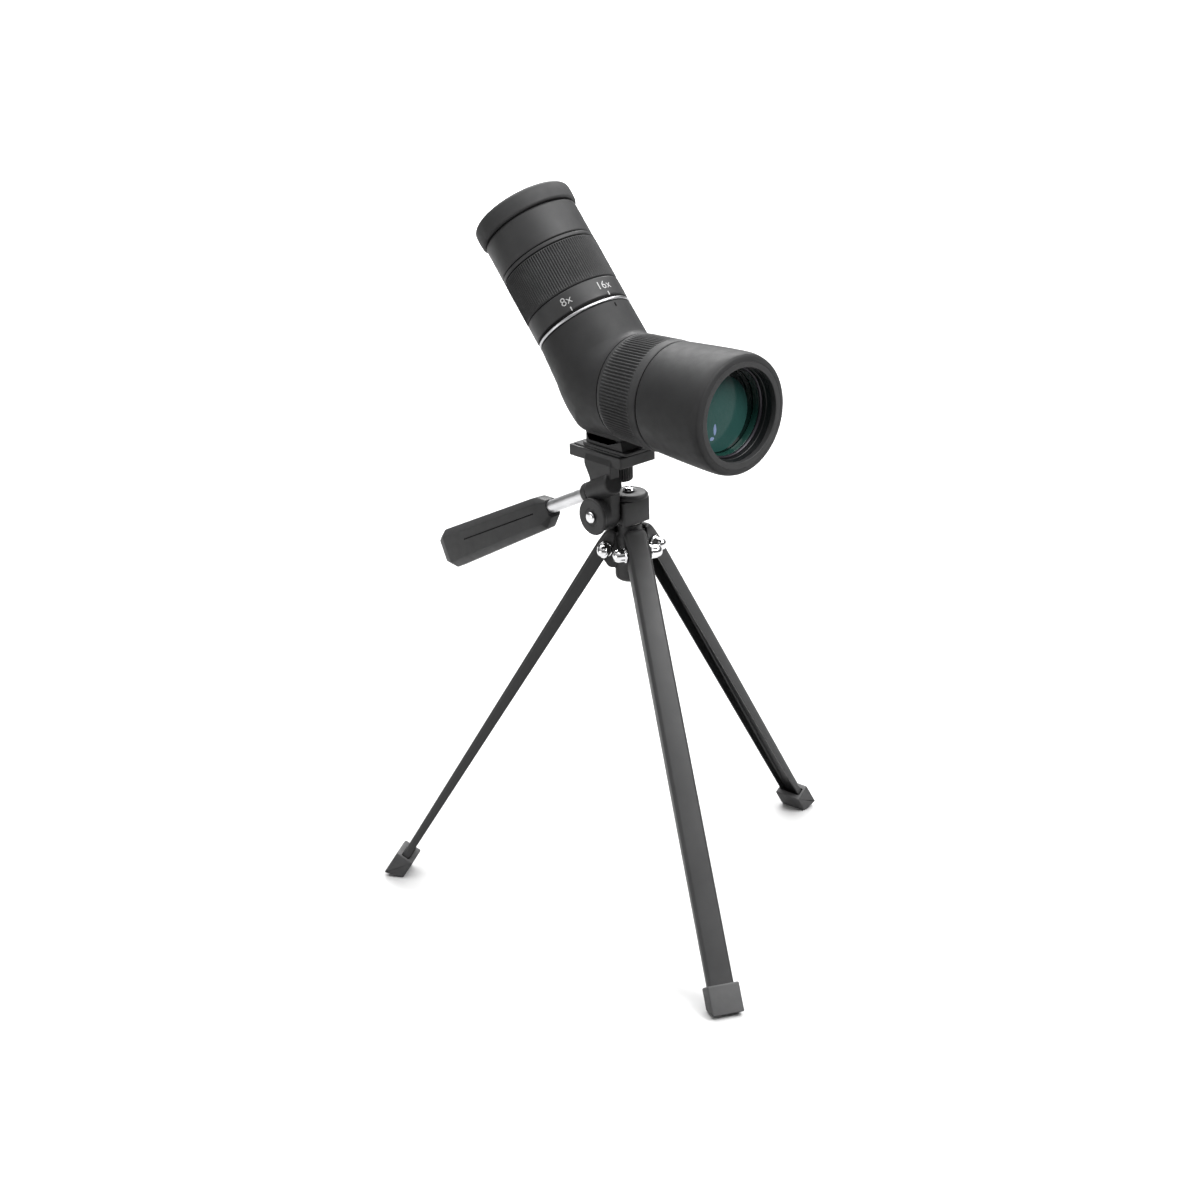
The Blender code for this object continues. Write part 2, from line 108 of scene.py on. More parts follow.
# Tripod.
LEG_SPREAD = 32.44
PIVOT_Z = 176.6
LEG_END = -205.2
FOOT_W = 14.8
FOOT_D = 9.24
FOOT_TOP = -196.4
FOOT_SOLE = -208.5
SOLE_RAKE = 0.2856
HUB_BOTTOM = 161.0
HUB_TOP = 188.3
PAN_BOTTOM = 189.4
PAN_TOP = 200.6
PAN_R = 9.1
PAN_FLAT = -7.8
PAN_FRONT = -6.7
PAN_CORNER = -9.3
PLATE = (-3.5, 6.7)
PLATE_W = 21.6
PLATE_L = 34.4
PLATE_TOP = 224.0
PLATE_T = 5.2
PAD_T = 0.7
NUT_START = 5.5

# Sides round a turned piece, from the widest pieces to the thinnest.
FINE = 160
ROUND = 128
INNER = 96
SMALL = 64
TINY = 48
PIN = 32

# Camera, in metres and degrees, with the lens in millimetres on a sensor 36 mm wide.
CAMERA_HEADING = 48.26
CAMERA_DROP = 21.17
CAMERA_ROLL = 1.88
CAMERA_DISTANCE = 1.130
CAMERA_TARGET_RIGHT = -0.01378
CAMERA_TARGET_UP = 0.15064
CAMERA_LENS = 73.28

# Studio lights: name, watts, size, place and aim. Places and aims are metres to the right of the
# tripod's foot as the camera sees it, away from the camera and up.
LIGHTS = (
    ("top", 54, (2.4, 2.4), (0.15, 0.35, 1.7), (0, 0.2, 0.2)),
    ("key", 21, (0.7, 0.7), (0.85, -0.55, 1.2), (0, 0, 0.2)),
    ("fill", 6, (1.0, 0.8), (-1.1, -0.7, 0.15), (0, 0, 0.1)),
    ("backdrop", 190, (2.6, 1.2), (0, 2.2, 1.8), (0, 2.6, 0)),
)
FLOOR_SIZE = 6
FLOOR_GAP = 0.0002
SKY_LOW = 0.12
SKY_HIGH = 0.70


# ---------------------------------------------------------------- frames

def place(origin, z_axis=(0, 0, 1), x_axis=(1, 0, 0)):
    """A frame in millimetres with its Z along z_axis and its X as near x_axis as it can be."""
    z = Vector(z_axis).normalized()
    y = z.cross(Vector(x_axis)).normalized()
    x = y.cross(z)
    turn = Matrix((x, y, z)).transposed().to_4x4()
    return Matrix.Translation(Vector(origin)) @ turn


def joint_frame(name, x_axis=(1, 0, 0)):
    joint = JOINTS[name]
    return place([v / MM for v in joint["pos_m"]], joint["axis"], x_axis)


WORLD = place((0, 0, 0))
OPTICS = joint_frame("focus_turn")
EYE = joint_frame("zoom_turn")
HANDLE = joint_frame("handle_lock")
BEND = OPTICS.to_translation()
EYE_DIR = Vector(JOINTS["zoom_turn"]["axis"])
EYE_RISE = math.atan2(EYE_DIR.z, EYE_DIR.y)
TILT_AT = joint_frame("tilt_hinge").to_translation()
TILT = place((0, TILT_AT.y, TILT_AT.z), (-1, 0, 0), (0, 1, 0))
SCREW_AT = joint_frame("clamp_screw_turn").to_translation()
SCREW = place((SCREW_AT.x, SCREW_AT.y, 0))


def leg_frame(side):
    """Origin on the leg's pin, X out of its front face, Y along the pin, Z up the leg."""
    joint = JOINTS[f"{side}_leg_fold"]
    pin = Vector(joint["pos_m"]) / MM
    out = Vector((pin.x, pin.y, 0)).normalized()
    lean = math.radians(LEG_SPREAD)
    up_leg = Vector((-out.x * math.sin(lean), -out.y * math.sin(lean), math.cos(lean)))
    face = Vector((out.x * math.cos(lean), out.y * math.cos(lean), math.sin(lean)))
    return place(pin, up_leg, face)


# ---------------------------------------------------------------- materials

# Noise scales, in cells to the metre, from the broadest to the finest.
GLASS_TINT = 60
MOTTLE = 90
METAL_TINT = 130
GLASS_SHEEN = 150
SHEEN = 240
WEAR = 260
WAVES = 420
STREAKS = 700

MATERIALS = {}


def node_material(name, colour, roughness, metallic=0.0, **sockets):
    """Adds a Principled material, with constant values on the shader's own sockets."""
    material = bpy.data.materials.new(name)
    MATERIALS[name] = material
    material.use_nodes = True
    shader = material.node_tree.nodes["Principled BSDF"]
    shader.inputs["Base Color"].default_value = (*colour, 1)
    shader.inputs["Roughness"].default_value = roughness
    shader.inputs["Metallic"].default_value = metallic
    for key, value in sockets.items():
        shader.inputs[key.replace("_", " ")].default_value = value
    return material.node_tree, shader


def grey(level, blue=0.0):
    """A grey in linear colour, with a little more blue if asked."""
    return (level, level, level + blue)


def noise(tree, scale, octaves=3.0, stretch=None):
    coords = tree.nodes.new("ShaderNodeTexCoord")
    texture = tree.nodes.new("ShaderNodeTexNoise")
    texture.inputs["Scale"].default_value = scale
    texture.inputs["Detail"].default_value = octaves
    source = coords.outputs["Object"]
    if stretch:
        mapping = tree.nodes.new("ShaderNodeMapping")
        mapping.inputs["Scale"].default_value = stretch
        tree.links.new(source, mapping.inputs["Vector"])
        source = mapping.outputs["Vector"]
    tree.links.new(source, texture.inputs["Vector"])
    return texture.outputs["Fac"]


def ramp(tree, source, low, high, start=0.3, end=0.7):
    node = tree.nodes.new("ShaderNodeValToRGB")
    node.color_ramp.elements[0].position = start
    node.color_ramp.elements[0].color = (*low, 1)
    node.color_ramp.elements[1].position = end
    node.color_ramp.elements[1].color = (*high, 1)
    tree.links.new(source, node.inputs["Fac"])
    return node.outputs["Color"]


def spread(tree, source, low, high):
    node = tree.nodes.new("ShaderNodeMapRange")
    node.inputs["From Min"].default_value = 0.3
    node.inputs["From Max"].default_value = 0.7
    node.inputs["To Min"].default_value = low
    node.inputs["To Max"].default_value = high
    tree.links.new(source, node.inputs["Value"])
    return node.outputs["Result"]


def bump(tree, shader, source, depth, strength):
    node = tree.nodes.new("ShaderNodeBump")
    node.inputs["Distance"].default_value = depth
    node.inputs["Strength"].default_value = strength
    tree.links.new(source, node.inputs["Height"])
    tree.links.new(node.outputs["Normal"], shader.inputs["Normal"])


def edge_wear(tree, colour_source, worn):
    """Blends towards the worn colour along convex edges, broken up by a coarse noise."""
    geometry = tree.nodes.new("ShaderNodeNewGeometry")
    edges = tree.nodes.new("ShaderNodeMapRange")
    edges.inputs["From Min"].default_value = 0.53
    edges.inputs["From Max"].default_value = 0.62
    edges.inputs["To Max"].default_value = 0.25
    tree.links.new(geometry.outputs["Pointiness"], edges.inputs["Value"])
    patchy = tree.nodes.new("ShaderNodeMath")
    patchy.operation = "MULTIPLY"
    tree.links.new(edges.outputs["Result"], patchy.inputs[0])
    tree.links.new(noise(tree, WEAR, 4), patchy.inputs[1])
    mix = tree.nodes.new("ShaderNodeMix")
    mix.data_type = "RGBA"
    tree.links.new(patchy.outputs["Value"], mix.inputs["Factor"])
    tree.links.new(colour_source, mix.inputs["A"])
    mix.inputs["B"].default_value = (*worn, 1)
    return mix.outputs["Result"]


def coated(name, dark, light, rough, grain, depth, strength, worn=None, metallic=0.0, **sockets):
    """Moulded, painted or rubber skin: mottled colour, uneven sheen and a fine grain."""
    tree, shader = node_material(name, dark, rough[0], metallic, **sockets)
    broad = noise(tree, MOTTLE, 5)
    colour = ramp(tree, broad, dark, light)
    if worn:
        colour = edge_wear(tree, colour, worn)
    tree.links.new(colour, shader.inputs["Base Color"])
    tree.links.new(spread(tree, noise(tree, SHEEN, 4), *rough), shader.inputs["Roughness"])
    bump(tree, shader, noise(tree, grain, 2), depth * MM, strength)


def metal(name, dark, light, rough, streak):
    """Bare or plated metal: polishing streaks in the roughness and a faint waviness."""
    tree, shader = node_material(name, light, rough[0], 1.0)
    tree.links.new(ramp(tree, noise(tree, METAL_TINT, 4), dark, light), shader.inputs["Base Color"])
    tree.links.new(spread(tree, noise(tree, STREAKS, 3, streak), *rough), shader.inputs["Roughness"])
    bump(tree, shader, noise(tree, WAVES, 2, streak), 0.02 * MM, 0.25)


def glass(name, colour, rough, **sockets):
    """Coated glass, seen as its dark body colour under a gloss that comes from the shader. The same recipe
    gives the painted reflection, painted glints and painted glow on the objective.
    """
    tree, shader = node_material(name, colour, rough[0], 0.0, **sockets)
    tree.links.new(spread(tree, noise(tree, GLASS_SHEEN, 4), *rough), shader.inputs["Roughness"])
    darker = tuple(0.86 * channel for channel in colour)
    tree.links.new(ramp(tree, noise(tree, GLASS_TINT, 2), darker, colour), shader.inputs["Base Color"])


def scope_materials():
    coated("armour", grey(0.0240, 0.0006), grey(0.0290, 0.0006), (0.50, 0.60), 5200, 0.05, 0.30,
           Specular_IOR_Level=0.17)
    coated("black_plastic", grey(0.0290, 0.0006), grey(0.0350, 0.0006), (0.42, 0.52), 4200, 0.04, 0.22,
           Specular_IOR_Level=0.25)
    coated("soft_rubber", grey(0.0290, 0.0006), grey(0.0350, 0.0006), (0.58, 0.70), 3600, 0.05, 0.30,
           Specular_IOR_Level=0.28)
    coated("black_anodised", grey(0.0040, 0.0006), grey(0.0065, 0.0007), (0.34, 0.46), 3000, 0.02, 0.2,
           Specular_IOR_Level=0.35)
    metal("silver_trim", grey(0.40, 0.01), grey(0.50, 0.01), (0.30, 0.42), (1, 1, 1))
    coated("ring_metal", (0.024, 0.021, 0.027), (0.036, 0.032, 0.040), (0.28, 0.38), 2600, 0.02, 0.2,
           metallic=0.5)
    coated("white_paint", grey(0.34), grey(0.44), (0.45, 0.6), 3000, 0.02, 0.2)
    # Near-black for painted shade in the seams and gaps between parts and at the bottom of the grip's cut, and
    # for the housing's index mark.
    coated("shade_and_mark_black", grey(0.0030), grey(0.0055), (0.7, 0.85), 3000, 0.02, 0.2, Specular_IOR_Level=0.1)


def lens_materials():
    glass("coated_glass", (0.0035, 0.0120, 0.0105), (0.03, 0.06), Specular_IOR_Level=0.35,
          Coat_Weight=0.25, Coat_Roughness=0.03)
    # The rear glass's teal also makes the painted reflection on the front lens; the glint colour is a painted
    # highlight and the glow colour a painted glow.
    glass("rear_glass_and_painted_reflection", (0.0240, 0.0780, 0.0700), (0.10, 0.16), Specular_IOR_Level=0.12)
    glass("glint_glass", (0.160, 0.230, 0.420), (0.10, 0.16), Specular_IOR_Level=0.5)
    glass("glow_glass", (0.009, 0.040, 0.032), (0.12, 0.20), Specular_IOR_Level=0.4)
    glass("clear_glass", (0.20, 0.25, 0.24), (0.03, 0.07))


def tripod_materials():
    coated("painted_casting", grey(0.0290, 0.0005), grey(0.0360, 0.0005), (0.42, 0.54), 2600, 0.05, 0.35,
           worn=grey(0.085), Specular_IOR_Level=0.32)
    coated("painted_leg", grey(0.0300, 0.0006), grey(0.0360, 0.0006), (0.34, 0.42), 2200, 0.03, 0.22,
           worn=grey(0.08), Specular_IOR_Level=0.28)
    coated("grey_rubber", grey(0.062, 0.001), grey(0.078, 0.001), (0.60, 0.74), 2400, 0.06, 0.4,
           Specular_IOR_Level=0.35)
    metal("chrome", grey(0.66, 0.01), grey(0.78, 0.01), (0.04, 0.10), (1, 1, 1))
    metal("satin_rod", grey(0.60, 0.01), grey(0.68, 0.01), (0.34, 0.44), (1, 1, 0.1))
    metal("steel", grey(0.42), (0.56, 0.56, 0.55), (0.28, 0.42), (1, 1, 0.1))
    metal("brass", (0.52, 0.37, 0.14), (0.68, 0.50, 0.22), (0.26, 0.4), (1, 1, 1))
    coated("nylon", (0.46, 0.45, 0.42), (0.54, 0.53, 0.50), (0.42, 0.55), 1800, 0.03, 0.2)


# ---------------------------------------------------------------- mesh helpers

def finish_mesh(name, bm, kind, matrix, crease=32):
    """Makes the object: metres in the CAD's own place, outward faces, smooth shading with sharp creases."""
    bmesh.ops.remove_doubles(bm, verts=bm.verts, dist=1e-5)
    bmesh.ops.recalc_face_normals(bm, faces=bm.faces)
    mesh = bpy.data.meshes.new(name)
    bm.transform(Matrix.Scale(MM, 4) @ matrix)
    bm.to_mesh(mesh)
    bm.free()
    mesh.shade_smooth()
    mesh.set_sharp_from_angle(angle=math.radians(crease))
    mesh.materials.append(MATERIALS[kind])
    obj = bpy.data.objects.new(name, mesh)
    bpy.context.scene.collection.objects.link(obj)
    return obj


def skin(name, rings, kind, matrix, loop=False, crease=32):
    """Joins equal rings of points into one closed mesh, capped at both ends unless it loops."""
    bm = bmesh.new()
    made = [[bm.verts.new(point) for point in ring] for ring in rings]
    count = len(made[0])
    pairs = list(zip(made, made[1:])) + ([(made[-1], made[0])] if loop else [])
    for low, high in pairs:
        for i in range(count):
            j = (i + 1) % count
            bm.faces.new((low[i], low[j], high[j], high[i]))
    if not loop:
        bm.faces.new(made[0][::-1])
        bm.faces.new(made[-1])
    return finish_mesh(name, bm, kind, matrix, crease)


def rounded(corners, steps=4, closed=True):
    """The corners, with an arc in place of each one whose third value is a fillet's reach."""
    out = []
    for i, corner in enumerate(corners):
        here = Vector(corner[:2])
        reach = corner[2] if len(corner) > 2 else 0
        if not reach or (not closed and i in (0, len(corners) - 1)):
            out.append((here.x, here.y))
            continue
        start = here + (Vector(corners[i - 1][:2]) - here).normalized() * reach
        end = here + (Vector(corners[(i + 1) % len(corners)][:2]) - here).normalized() * reach
        for k in range(steps + 1):
            t = k / steps
            point = start * (1 - t) ** 2 + here * 2 * t * (1 - t) + end * t ** 2
            out.append((point.x, point.y))
    return out


def lathe(name, corners, kind, matrix, segments=ROUND, steps=4, crease=32):
    """Turns a closed section of (radius, height[, fillet]) corners about the frame's Z axis."""
    section = rounded(corners, steps)
    rings = []
    for i in range(segments):
        a = math.tau * i / segments
        rings.append([(r * math.cos(a), r * math.sin(a), z) for r, z in section])
    return skin(name, rings, kind, matrix, loop=True, crease=crease)


def solid_lathe(name, corners, kind, matrix, segments=SMALL, steps=4, crease=32):
    """Turns a profile that starts and ends on the axis into a solid."""
    profile = rounded(corners, steps, closed=False)
    bm = bmesh.new()
    low = bm.verts.new((0, 0, profile[0][1]))
    high = bm.verts.new((0, 0, profile[-1][1]))
    rings = []
    for r, z in profile[1:-1]:
        ring = []
        for i in range(segments):
            a = math.tau * i / segments
            ring.append(bm.verts.new((r * math.cos(a), r * math.sin(a), z)))
        rings.append(ring)
    for i in range(segments):
        j = (i + 1) % segments
        bm.faces.new((low, rings[0][j], rings[0][i]))
        bm.faces.new((high, rings[-1][i], rings[-1][j]))
        for a, b in zip(rings, rings[1:]):
            bm.faces.new((a[i], a[j], b[j], b[i]))
    return finish_mesh(name, bm, kind, matrix, crease)


def ribbed(name, stations, inner, kind, matrix, ribs, samples, sharpness):
    """A ring with fine ribs: stations are (height, radius, rib depth), and inner is its bore's radius."""
    count = ribs * samples
    rings = []
    for z, radius, depth in stations:
        ring = []
        for i in range(count):
            wave = math.tanh(sharpness * math.cos(math.tau * i / samples)) / math.tanh(sharpness)
            r = radius - depth * (0.5 - 0.5 * wave)
            a = math.tau * i / count
            ring.append((r * math.cos(a), r * math.sin(a), z))
        rings.append(ring)
    turns = [math.tau * i / count for i in range(count)]
    for z in (stations[-1][0], stations[0][0]):
        rings.append([(inner * math.cos(a), inner * math.sin(a), z) for a in turns])
    return skin(name, rings, kind, matrix, loop=True, crease=75)


def offset(outline, distance):
    """The outline pulled in by a distance along each point's own normal."""
    count = len(outline)
    area = sum(
        outline[i][0] * outline[(i + 1) % count][1] - outline[(i + 1) % count][0] * outline[i][1]
        for i in range(count)
    )
    turn = 1 if area > 0 else -1
    out = []
    for i, point in enumerate(outline):
        before = Vector(point) - Vector(outline[i - 1])
        after = Vector(outline[(i + 1) % count]) - Vector(point)
        if before.length < 1e-6 or after.length < 1e-6:
            out.append(point)
            continue
        one = Vector((-before.y, before.x)).normalized()
        two = Vector((-after.y, after.x)).normalized()
        middle = (one + two).normalized()
        reach = distance / max(0.5, middle.dot(one))
        out.append((point[0] + turn * middle.x * reach, point[1] + turn * middle.y * reach))
    return out


def slab(name, corners, z0, z1, kind, matrix, bevel=0.5, steps=4, crease=40):
    """An outline with filleted corners, raised into a plate whose top and bottom edges are rounded."""
    outline = rounded(corners, steps)
    quarter = [math.radians(30 * k) for k in range(4)]
    low = [(z0 + bevel * (1 - math.cos(a)), bevel * (1 - math.sin(a))) for a in quarter]
    high = [(z1 - bevel * (1 - math.cos(a)), bevel * (1 - math.sin(a))) for a in reversed(quarter)]
    rings = [[(x, y, z) for x, y in offset(outline, inset)] for z, inset in low + high]
    return skin(name, rings, kind, matrix, crease=crease)


def rectangle(half_x, half_y, fillet, cx=0.0, cy=0.0):
    return [
        (cx - half_x, cy - half_y, fillet), (cx + half_x, cy - half_y, fillet),
        (cx + half_x, cy + half_y, fillet), (cx - half_x, cy + half_y, fillet),
    ]


def settle(obj):
    """Replaces the object's mesh with its evaluated one, so that no modifier is left."""
    graph = bpy.context.evaluated_depsgraph_get()
    mesh = bpy.data.meshes.new_from_object(obj.evaluated_get(graph))
    obj.modifiers.clear()
    obj.data = mesh


def cut(obj, cutter, crease=32):
    modifier = obj.modifiers.new("cut", "BOOLEAN")
    modifier.operation = "DIFFERENCE"
    modifier.solver = "EXACT"
    modifier.object = cutter
    settle(obj)
    bpy.data.objects.remove(cutter)
    obj.data.set_sharp_from_angle(angle=math.radians(crease))


def cast(name, pieces, kind, voxel, smoothing=4):
    """Fuses overlapping pieces into one casting with soft fillets where they meet."""
    bm = bmesh.new()
    for piece in pieces:
        bm.from_mesh(piece.data)
        bpy.data.objects.remove(piece)
    mesh = bpy.data.meshes.new(name)
    bm.to_mesh(mesh)
    bm.free()
    mesh.materials.append(MATERIALS[kind])
    obj = bpy.data.objects.new(name, mesh)
    bpy.context.scene.collection.objects.link(obj)
    remesh = obj.modifiers.new("fuse", "REMESH")
    remesh.mode = "VOXEL"
    remesh.voxel_size = voxel * MM
    remesh.use_smooth_shade = True
    smooth = obj.modifiers.new("soften", "SMOOTH")
    smooth.factor = 0.5
    smooth.iterations = smoothing
    settle(obj)
    return obj


def stand_for(obj, *nodes):
    """The piece moves with its CAD node's body and is shown in place of it."""
    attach(obj, BODY_OF[nodes[0]])
    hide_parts(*nodes)
    return obj


def detail(obj, node):
    """An extra piece on the CAD node's body that stands for no node of its own."""
    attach(obj, BODY_OF[node])
    return obj


def cap_arc(radius, z, rise, steps=10):
    """A dome's profile from the rim (radius, z) to the axis at z + rise, without the rim point."""
    out = []
    for k in range(1, steps + 1):
        t = k / steps
        out.append((radius * (1 - t), z + rise * (1 - (1 - t) ** 2)))
    return out


def lens(name, radius, z_mid, edge, low, high, kind, matrix):
    """A lens with a flat edge and domed faces; low and high are how far each face bulges out."""
    under = [(r, z_mid - edge / 2 - z) for r, z in reversed(cap_arc(radius, 0, low))]
    over = [(r, z_mid + edge / 2 + z) for r, z in cap_arc(radius, 0, high)]
    profile = under + [(radius, z_mid - edge / 2), (radius, z_mid + edge / 2)] + over
    return solid_lathe(name, profile, kind, matrix, segments=INNER)


# ---------------------------------------------------------------- objective end

def objective_barrel():
    corners = [
        (24.4, 38.7, 0.4), (25.05, 39.5, 0.5), (25.9, 52, 3), (26.6, 64, 3), (26.9, 71.5, 2.0),
        (26.9, 75.6, 2.0), (26.0, 78.0, 1.2), (23.42, 78.6, 0.08), (23.42, 76.8), (20.9, 76.7),
        (20.9, 38.7),
    ]
    stand_for(lathe("objective_barrel_shell", corners, "armour", OPTICS, FINE, 6, 40), "objective_barrel")
    # A near-black ring in the gap between the focus ring and the barrel: painted shade at the seam.
    seam_shade = [(24.42, 38.35), (24.42, 38.75), (21.4, 38.75), (21.4, 38.35)]
    detail(lathe("objective_barrel_seam_shade", seam_shade, "shade_and_mark_black", OPTICS), "objective_barrel")


def front_bezel():
    lip = [(21.2, 76.2), (23.36, 76.6), (23.36, 78.58, 0.08), (20.75, 78.6, 0.35), (20.6, 76.2)]
    stand_for(lathe("front_bezel_lip", lip, "black_plastic", OPTICS, FINE), "front_bezel")
    wall = [(20.7, 70.2), (20.7, 76.1), (20.4, 76.1), (20.3, 73.4), (OPENING_R, 73.2, 0.1), (OPENING_R, 70.2)]
    detail(lathe("front_bezel_wall", wall, "black_anodised", OPTICS, FINE), "front_bezel")


def dome_height(x, y):
    """The front lens's outer surface, as a station along the optical axis."""
    return LENS_RIM + LENS_RISE * (1 - (x * x + y * y) / LENS_R ** 2)


def patch(name, centre, half, kind, lift, rings=8, segments=72):
    """A thin oval skin that follows the front lens's dome, to carry painted reflections and painted glints."""
    bm = bmesh.new()
    layers = []
    for side in (lift, SKIN_DEPTH):
        middle = bm.verts.new((*centre, dome_height(*centre) + side))
        circles = []
        for k in range(1, rings + 1):
            circle = []
            for i in range(segments):
                a = math.tau * i / segments
                x = centre[0] + half[0] * k / rings * math.cos(a)
                y = centre[1] + half[1] * k / rings * math.sin(a)
                circle.append(bm.verts.new((x, y, dome_height(x, y) + side)))
            circles.append(circle)
        layers.append((middle, circles))
    for middle, circles in layers:
        for i in range(segments):
            j = (i + 1) % segments
            bm.faces.new((middle, circles[0][i], circles[0][j]))
            for inner, outer in zip(circles, circles[1:]):
                bm.faces.new((inner[i], outer[i], outer[j], inner[j]))
    over, under = layers[0][1][-1], layers[1][1][-1]
    for i in range(segments):
        j = (i + 1) % segments
        bm.faces.new((over[i], under[i], under[j], over[j]))
    return detail(finish_mesh(name, bm, kind, OPTICS), "objective_lens_front")


def objective_group():
    ring = [
        (20.6, 66.95), (20.6, 70.0), (20.05, 70.05), (20.05, 71.2, 0.15), (19.5, 71.2, 0.15),
        (19.1, 70.6, 0.1), (19.1, 70.0, 0.1), (19.55, 69.6), (19.55, 66.95),
    ]
    stand_for(lathe("retaining_ring", ring, "ring_metal", OPTICS), "lens_retaining_ring")
    # The lens's edge seat takes the glow colour: a painted green glow round the rim of the lens.
    seat = [(19.5, 66.9), (19.5, 69.55), (19.2, 69.5, 0.1), (18.7, 66.75, 0.1)]
    detail(lathe("lens_edge_ring", seat, "glow_glass", OPTICS), "lens_retaining_ring")
    glass_body = lens("front_lens", LENS_R, 65.4, 1.6, 1.6, LENS_RISE, "coated_glass", OPTICS)
    stand_for(glass_body, "objective_lens_front")
    # A teal disc painted on the front lens: a painted reflection of the rear lens seen through it.
    patch("lens_inner_reflection", (-1.5, -1.4), (16.6, 16.6), "rear_glass_and_painted_reflection", 0.04)
    # Two small blue-white painted glints on the front lens.
    patch("lens_glint_tall", (-5.2, -7.4), (0.8, 2.5), "glint_glass", 0.07, 3, 32)
    patch("lens_glint_low", (-6.8, -11.2), (1.2, 0.8), "glint_glass", 0.07, 3, 32)
    baffle = [(20.5, 60.2), (20.5, 64.2), (19.4, 64.2, 0.1)]
    for k in range(5):
        z = 63.6 - 0.7 * k
        baffle += [(19.2, z), (18.9, z - 0.35)]
    baffle += [(18.8, 60.2)]
    stand_for(lathe("lens_cell", baffle, "black_anodised", OPTICS, INNER), "lens_spacer")
    stand_for(lens("rear_lens", 19.8, 58.4, 2.6, 0.8, 1.4, "rear_glass_and_painted_reflection", OPTICS), "objective_lens_rear")


def focus_ring():
    stations = [(12.9, 23.2, 0), (13.05, 23.6, 0), (13.4, 23.85, 0), (14.9, 24.05, 0), (15.25, 24.3, 0)]
    for k in range(9):
        t = k / 8
        z = FOCUS_RIBS_FROM + (FOCUS_RIBS_TO - FOCUS_RIBS_FROM) * t
        stations.append((z, 24.35 + 0.75 * t, FOCUS_RIB_DEPTH if 0 < k < 8 else 0.3))
    stations += [
        (34.2, 25.1, 0), (34.5, 25.0, 0), (34.8, 24.85, 0), (37.7, 24.95, 0), (38.1, 24.85, 0),
        (38.3, 24.5, 0),
    ]
    ring = ribbed("focus_ring_grip", stations, 20.9, "soft_rubber", OPTICS, FOCUS_RIBS, 10, 1.0)
    stand_for(ring, "focus_ring")


def focus_sleeve():
    sleeve = [(18.9, 10.8), (18.9, 57.0), (20.6, 57.0, 0.2), (20.6, 10.8, 0.2)]
    stand_for(lathe("focus_sleeve_tube", sleeve, "black_anodised", OPTICS, INNER), "focus_sleeve")


# ---------------------------------------------------------------- body

def bend_rings(radius_at, heel):
    """Rings from the objective side, round the bend and up to the eyepiece seat, with the heel if it is 1."""
    arc_r = BEND_T / math.tan(EYE_RISE / 2)
    centre = Vector((0, BEND.y - BEND_T, BEND.z + arc_r))
    rings = []
    for step in range(BEND_STATIONS + 1):
        share = step / BEND_STATIONS
        angle = EYE_RISE * min(share / BEND_SHARE, 1.0)
        outward = Vector((0, math.sin(angle), -math.cos(angle)))
        point = centre + outward * arc_r
        beyond = max(0.0, (share - BEND_SHARE) / (1 - BEND_SHARE))
        point += EYE_DIR * (EYE_SEAT - BEND_T) * beyond
        mitre = heel * HEEL_MITRE * (1 / math.cos(min(angle, EYE_RISE - angle)) - 1)
        along = max(0.0, (share - HEEL_START) / (1 - HEEL_START))
        bulge = heel * HEEL_BULGE * math.sin(math.pi * min(1.0, along) ** HEEL_SKEW)
        radius = radius_at(share)
        ring = []
        for i in range(HOUSING_SIDES):
            turn = math.tau * i / HOUSING_SIDES
            weight = min(1.0, max(0.0, math.sin(turn) + HEEL_WRAP)) ** 1.2
            side = radius * math.sin(turn)
            side += weight * (mitre * (arc_r + side) + bulge)
            across = Vector((BEND.x + radius * math.cos(turn), 0, 0))
            ring.append(tuple(point + across + outward * side))
        rings.append(ring)
    return rings


def prism_housing():
    outer = bend_rings(lambda share: BODY_R_FRONT + (BODY_R_EYE - BODY_R_FRONT) * share, 1)
    inner = bend_rings(lambda share: BORE_R_FRONT + (BORE_R_EYE - BORE_R_FRONT) * share, 0)
    shell = skin("prism_housing_shell", outer + inner[::-1], "armour", WORLD, loop=True, crease=45)
    stand_for(shell, "prism_housing")
    rings = []
    growth = (
        (230.85, -0.3), (231.0, -0.1), (231.3, 0.0), (232.2, 0.0), (233.0, 0.15), (233.8, 0.5), (234.6, 1.2),
        (235.4, 2.3),
    )
    for z, grow in growth:
        outline = rounded(rectangle(8.4 + grow, 11.9 + 0.4 * grow, 1.2, BEND.x, 3.2 - 0.4 * grow), 6)
        rings.append([(x, y, z) for x, y in outline])
    detail(skin("housing_pedestal", rings, "armour", WORLD, crease=45), "prism_housing")
    mark = EYE @ Matrix.Rotation(math.radians(MARK_ANGLE + 4), 4, "Z")
    facing = mark @ place((0, 0, INDEX_HEIGHT), (1, 0, 0), (0, 1, 0))
    tick = slab("index_mark", rectangle(0.3, 0.9, 0.1), 22.2, 22.75, "shade_and_mark_black", facing, 0.05, 2)
    detail(tick, "prism_housing")


def mounting_foot():
    """A flange, a neck round the screw's bush, and a block with a shallow trough between its two ends."""
    flange = rectangle(9.2, 14.6, 2.4, BEND.x, 2.3)
    stand_for(slab("foot_flange", flange, 224.8, 226.3, "painted_casting", WORLD, 0.3, 8), "mounting_foot")
    neck = rectangle(5.0, 8.6, 1.2, BEND.x, 4.0)
    detail(slab("foot_neck", neck, 226.2, 230.8, "black_plastic", WORLD, 0.2), "mounting_foot")
    sideways = place((BEND.x, 0, 0), (1, 0, 0), (0, 1, 0))
    block = [
        (14.6, 226.2), (14.6, 230.8, 0.3), (12.4, 230.8, 0.3), (12.4, 228.1, 0.5), (-0.2, 228.1, 0.5),
        (-5.6, 230.8, 0.3), (-8.4, 230.8, 0.3), (-9.6, 226.2),
    ]
    detail(slab("foot_block", block, -8.35, 8.35, "black_plastic", sideways, 0.35), "mounting_foot")


# ---------------------------------------------------------------- eyepiece

